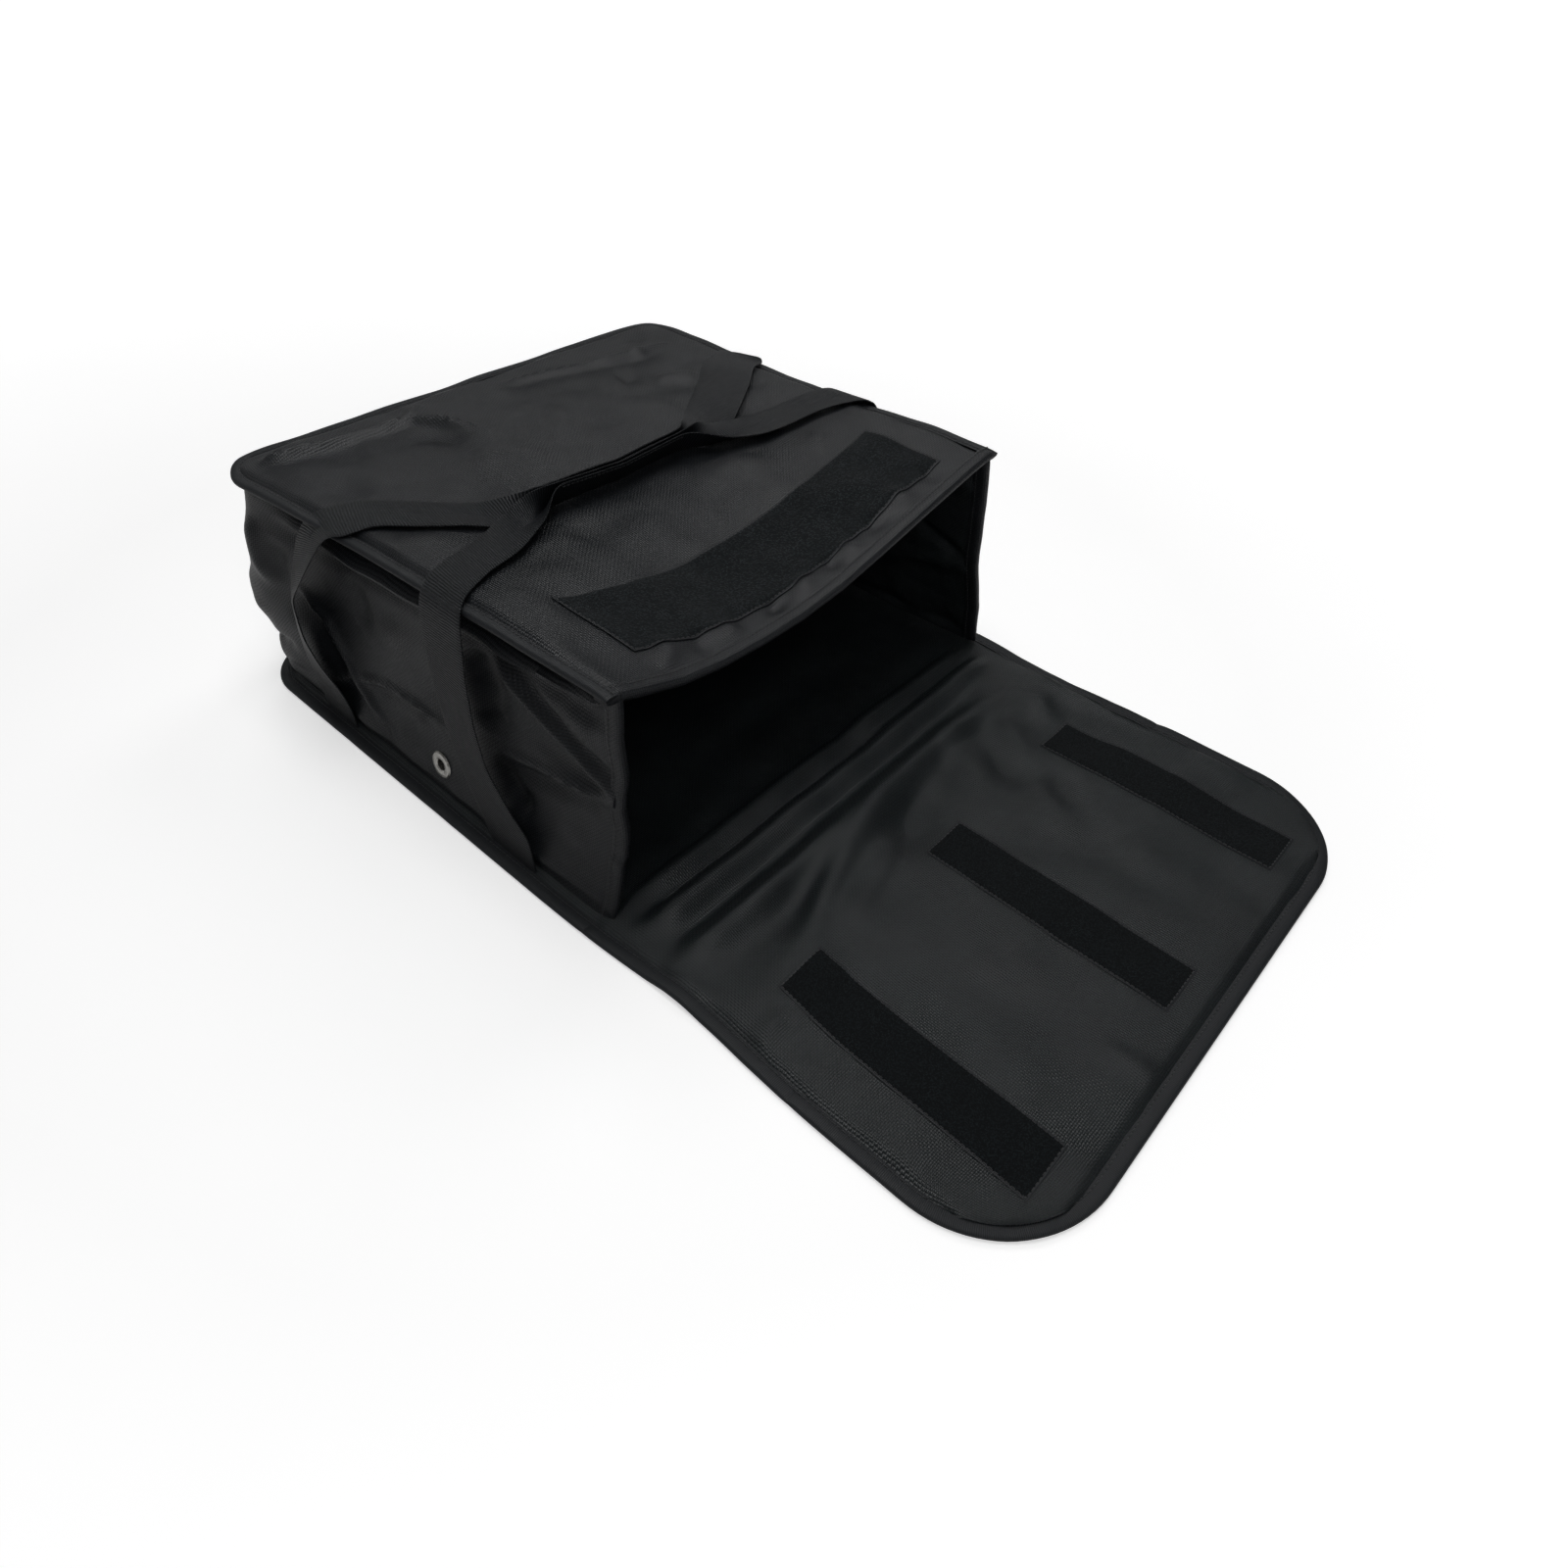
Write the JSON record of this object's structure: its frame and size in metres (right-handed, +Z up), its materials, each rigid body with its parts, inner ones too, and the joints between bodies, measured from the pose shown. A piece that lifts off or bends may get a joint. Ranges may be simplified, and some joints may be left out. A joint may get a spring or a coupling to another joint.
{
  "type": "pizza delivery bag",
  "caption": "Padded square delivery bag, open at the front, with a bound flap that folds up over the mouth, hook-and-loop strips, webbing handles and vent eyelets.",
  "frame": {"origin": "middle of the base's underside, halfway between the mouth line and the back edge, on the floor", "axes": "+Z up, +Y from the mouth to the back, +X to the right seen from the front"},
  "size_m": [0.512, 0.854, 0.216],
  "materials": {
    "cover_fabric": "coated oxford weave, satin",
    "padding_foam": "closed-cell foam",
    "lining_fabric": "coated lining, satin",
    "binding_tape": "ribbed binding tape",
    "handle_webbing": "woven webbing",
    "hook_tape": "hook tape",
    "loop_tape": "brushed loop tape",
    "eyelet_metal": "nickel plated"
  },
  "bodies": {
    "bag": {"back_strap_leg_left": "handle_webbing", "back_strap_leg_right": "handle_webbing", "base_binding": "binding_tape", "base_cover": "cover_fabric", "base_foam": "padding_foam", "base_lining": "lining_fabric", "front_strap_leg_left": "handle_webbing", "front_strap_leg_right": "handle_webbing", "loop_strip": "loop_tape", "mouth_hem_left": "binding_tape", "mouth_hem_right": "binding_tape", "mouth_hem_top": "binding_tape", "top_binding": "binding_tape", "top_cover": "cover_fabric", "top_foam": "padding_foam", "top_lining": "lining_fabric", "vent_eyelet_left": "eyelet_metal", "vent_eyelet_right": "eyelet_metal", "vent_washer_left": "eyelet_metal", "vent_washer_right": "eyelet_metal", "wall_cover": "cover_fabric", "wall_foam_back": "padding_foam", "wall_foam_left": "padding_foam", "wall_foam_right": "padding_foam", "wall_lining": "lining_fabric"},
    "flap_lower": {"flap_lower_binding_left": "binding_tape", "flap_lower_binding_right": "binding_tape", "flap_lower_cover": "cover_fabric", "flap_lower_foam": "padding_foam", "flap_lower_lining": "lining_fabric", "hook_strip_left_lower": "hook_tape", "hook_strip_middle_lower": "hook_tape", "hook_strip_right_lower": "hook_tape"},
    "flap_upper": {"flap_upper_binding": "binding_tape", "flap_upper_cover": "cover_fabric", "flap_upper_foam": "padding_foam", "flap_upper_lining": "lining_fabric", "hook_strip_left_upper": "hook_tape", "hook_strip_middle_upper": "hook_tape", "hook_strip_right_upper": "hook_tape"},
    "front_handle": {"front_handle": "handle_webbing"},
    "back_handle": {"back_handle": "handle_webbing"}
  },
  "joints": [
    {"name": "flap_lift", "type": "hinge", "parent": "bag", "child": "flap_lower", "pos_m": [0, -0.242, 0.0074], "axis": [-1, 0, 0], "range_deg": [0, 90]},
    {"name": "flap_fold", "type": "hinge", "parent": "flap_lower", "child": "flap_upper", "pos_m": [0, -0.4549, 0.0074], "axis": [-1, 0, 0], "range_deg": [0, 90]},
    {"name": "front_handle_swing", "type": "hinge", "parent": "bag", "child": "front_handle", "pos_m": [0, -0.07395, 0.21244], "axis": [1, 0, 0], "range_deg": [0, 90]},
    {"name": "back_handle_swing", "type": "hinge", "parent": "bag", "child": "back_handle", "pos_m": [0, 0.07755, 0.20781], "axis": [-1, 0, 0], "range_deg": [0, 90]}
  ]
}
